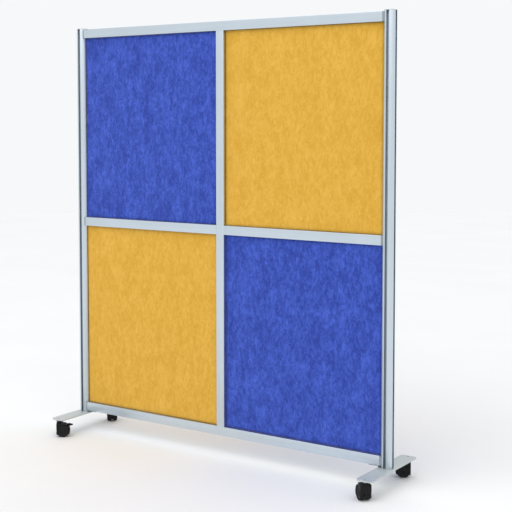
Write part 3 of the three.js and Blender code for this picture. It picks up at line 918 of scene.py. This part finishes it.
# ---- Castors ----
TRAIL = 18 * MM
WHEEL_RADIUS = 29 * MM
AXLE_HOLE_RADIUS = 3.3 * MM
HOOD_RADIUS = 33 * MM
HOOD_HALF_WIDTH = 23 * MM
HOOD_EDGE = 2.4 * MM
WHEEL_SPACE_RADIUS = 30.3 * MM
WEB_HALF = 5.5 * MM
POCKET_HALF = 3.5 * MM
BOSS_RADIUS = 11 * MM
BOSS_FOOT = 60 * MM
BOSS_TOP = 73.5 * MM
HOOD_BORE_RADIUS = 5.6 * MM
STEM_RADIUS = 5 * MM
STEM_TIP_RADIUS = 4.2 * MM
STEM_DIMPLE_RADIUS = 1.2 * MM
FLANGE_RADIUS = 13 * MM
FLANGE_LOW = 74 * MM
FLANGE_HIGH = 78 * MM
PEDAL_PIVOT = (35 * MM, 46 * MM)
PEDAL_HALF_WIDTH = 9 * MM
PEDAL_TONGUE_HALF = 3 * MM
PIN_RADIUS = 1.6 * MM
PIN_REACH = 5.2 * MM


class CastorPlace:
    """Turns a castor's own coordinates (trail along +x, stem on z) into the model's frame."""

    def __init__(self, castor):
        swivel = JOINTS[f"{castor}_swivel"]["pos_m"]
        axle = JOINTS[f"{castor}_roll_a"]["pos_m"]
        self.x, self.y = swivel[0], swivel[1]
        self.angle = math.atan2(axle[1] - self.y, axle[0] - self.x)

    def point(self, x, y, z):
        c, s = math.cos(self.angle), math.sin(self.angle)
        return (self.x + x * c - y * s, self.y + x * s + y * c, z)

    def across(self, u, v, w):
        """For outlines in x and z that are extruded across the castor."""
        return self.point(u, w, v)

    def upright(self, u, v, w):
        return self.point(u, v, w)

    def round_axle(self, u, v, w):
        """For profiles turned about the wheel axle."""
        return self.point(TRAIL + u, w, WHEEL_RADIUS + v)


def mm_points(*points):
    return [tuple(value * MM for value in point) for point in points]


def hood_outline():
    """The hood's side view: x along the trail, z up."""
    rear = arc((TRAIL, WHEEL_RADIUS), HOOD_RADIUS, -26, 86, 34)
    return fillet(
        [
            *mm_points((-12, 14, 2), (-4, 10, 2), (40, 10, 6)),
            *rear,
            *mm_points((15, 66, 1.5), (-12, 66, 3)),
        ],
        4,
    )


def make_hood(castor, place):
    """A shell over both wheels: a middle web, a boss for the stem and a pocket for the pedal."""
    node = f"{castor}_hood"
    black = MATERIALS["black_plastic"]
    half = HOOD_HALF_WIDTH
    hood = prism(f"{castor}_cover", hood_outline(), [], -half, half, place.across, black, HOOD_EDGE, 5)
    boss_profile = [
        (0, BOSS_FOOT),
        (BOSS_RADIUS, BOSS_FOOT),
        (BOSS_RADIUS, BOSS_TOP - 1 * MM),
        (BOSS_RADIUS - 1 * MM, BOSS_TOP),
        (0, BOSS_TOP),
    ]
    boss = lathe("boss", boss_profile, place.upright, black, 48)
    boolean(hood, "UNION", boss)
    pocket_outline = mm_points((29, 43), (35, 38.5), (56, 47), (56, 68), (34, 68), (29, 52))
    tools = [prism("pocket", pocket_outline, [], -POCKET_HALF, POCKET_HALF, place.across, black, 0.0, 1)]
    for way in (-1, 1):
        ends = sorted((way * WEB_HALF, way * (half + 2 * MM)))
        profile = rod_profile(WHEEL_SPACE_RADIUS, *ends)
        tools.append(lathe("wheel_space", profile, place.round_axle, black, 72))
    stem_hole = rod_profile(HOOD_BORE_RADIUS, BOSS_FOOT - 1 * MM, BOSS_TOP + 1 * MM)
    tools.append(lathe("stem_hole", stem_hole, place.upright, black, 40))
    axle_hole = rod_profile(AXLE_HOLE_RADIUS, -WEB_HALF * 2, WEB_HALF * 2)
    tools.append(lathe("axle_hole", axle_hole, place.round_axle, black, 32))
    boolean(hood, "DIFFERENCE", *tools)
    stand_for(hood, node, "black_plastic")


def wheel_profile():
    """Half section of a wheel from its closed outer face round to its blind bore, as (radius, across)."""
    return mm_points(
        (0, 22.3),
        (5.5, 22.3),
        (7.5, 22.0),
        (9.0, 21.0),
        (10.0, 20.3),
        (12.0, 20.0),
        (19.5, 20.6),
        (21.0, 21.0),
        (22.0, 22.0),
        (23.0, 22.8),
        (24.5, 23.0),
        (26.4, 22.9),
        (27.8, 22.1),
        (28.6, 20.8),
        (29.0, 19.0),
        (29.0, 17.3),
        (28.5, 16.9),
        (28.5, 16.3),
        (29.0, 15.9),
        (29.0, 13.2),
        (28.5, 12.8),
        (28.5, 12.2),
        (29.0, 11.8),
        (29.0, 9.2),
        (28.6, 7.8),
        (27.6, 6.8),
        (26.4, 6.5),
        (3.3, 6.5),
        (3.3, 21.3),
        (0, 21.3),
    )


def make_wheel(castor, place, letter, way):
    """A plain disc wheel with two grooves round its tread. Way is its side of the hood's web."""
    node = f"{castor}_wheel_{letter}"
    profile = [(r, way * across) for r, across in wheel_profile()]
    wheel = lathe(f"{castor}_tyre_{letter}", profile, place.round_axle, MATERIALS["black_rubber"], 96)
    stand_for(wheel, node, "black_rubber")


def make_stem(castor, place):
    node = f"{castor}_stem"
    low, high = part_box(node)
    profile = [
        (0, low.z),
        (STEM_TIP_RADIUS, low.z),
        (STEM_RADIUS, low.z + 1 * MM),
        (STEM_RADIUS, FLANGE_LOW),
        (FLANGE_RADIUS - 1.4 * MM, FLANGE_LOW),
        (FLANGE_RADIUS - 0.4 * MM, FLANGE_LOW + 0.6 * MM),
        (FLANGE_RADIUS, FLANGE_LOW + 1.6 * MM),
        (FLANGE_RADIUS, FLANGE_HIGH - 0.6 * MM),
        (FLANGE_RADIUS - 0.6 * MM, FLANGE_HIGH),
        (STEM_RADIUS, FLANGE_HIGH),
        (STEM_RADIUS, high.z - 0.8 * MM),
        (STEM_TIP_RADIUS, high.z),
        (STEM_DIMPLE_RADIUS + 0.4 * MM, high.z),
        (STEM_DIMPLE_RADIUS, high.z - 0.6 * MM),
        (0, high.z - 0.6 * MM),
    ]
    stem = lathe(f"{castor}_pivot", profile, place.upright, MATERIALS["zinc_steel"], 64)
    stand_for(stem, node, "zinc_steel")


def make_pedal(castor, place):
    """A foot tab on a narrow tongue that turns on a pin inside the hood's pocket."""
    node = f"{castor}_pedal"
    black = MATERIALS["black_plastic"]
    tongue = mm_points(
        (31.5, 44.5, 2),
        (35, 42, 2),
        (44, 49.5, 1),
        (50, 50.5),
        (50, 58.5),
        (44, 60, 1),
        (40, 59, 1),
        (32, 48.5, 2),
    )
    tab = mm_points(
        (45.5, 51, 1),
        (50, 50.5, 2),
        (63.5, 53, 0.9),
        (64, 55, 0.9),
        (52, 58.5, 3),
        (44, 60.5, 1),
        (41, 58.5, 1),
    )
    half = PEDAL_HALF_WIDTH
    pedal = prism(f"{castor}_lever", fillet(tab, 4), [], -half, half, place.across, black, 1.4 * MM, 4)
    half = PEDAL_TONGUE_HALF
    parts = [prism("tongue", fillet(tongue, 4), [], -half, half, place.across, black, 0.4 * MM, 2)]

    def round_pin(u, v, w):
        return place.point(PEDAL_PIVOT[0] + u, w, PEDAL_PIVOT[1] + v)

    parts.append(lathe("pin", rod_profile(PIN_RADIUS, -PIN_REACH, PIN_REACH), round_pin, black, 32))
    boolean(pedal, "UNION", *parts)
    stand_for(pedal, node, "black_plastic")


def make_castors():
    for side in SIDES:
        for face in FACES:
            castor = f"castor_{face}_{side}"
            place = CastorPlace(castor)
            make_hood(castor, place)
            make_wheel(castor, place, "a", 1)
            make_wheel(castor, place, "b", -1)
            make_stem(castor, place)
            make_pedal(castor, place)


# ---- CAD pieces that stay ----
def dress_cad_pieces():
    """Gives every CAD node its slot's material. The aluminium nodes are all replaced afterwards."""
    for node, piece in frame["nodes"].items():
        material = MATERIALS.get(SLOT_OF[node], MATERIALS["anodised_x"])
        for index in range(len(piece.material_slots)):
            piece.material_slots[index].material = material
        if not piece.material_slots:
            piece.data.materials.append(material)


def make_floor():
    floor = lathe("floor", [(0, 0), (FLOOR_RADIUS, 0)], along_z(), studio_floor_material(), 96)
    floor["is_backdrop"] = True


make_camera()
make_studio()
make_floor()
dress_cad_pieces()
make_posts()
make_post_caps()
make_rails()
make_felts()
make_feet()
make_brackets()
make_castors()

boxes = {"cad": cad_box, "visual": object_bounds()}
{name: [list(corner) for corner in box] for name, box in boxes.items()}
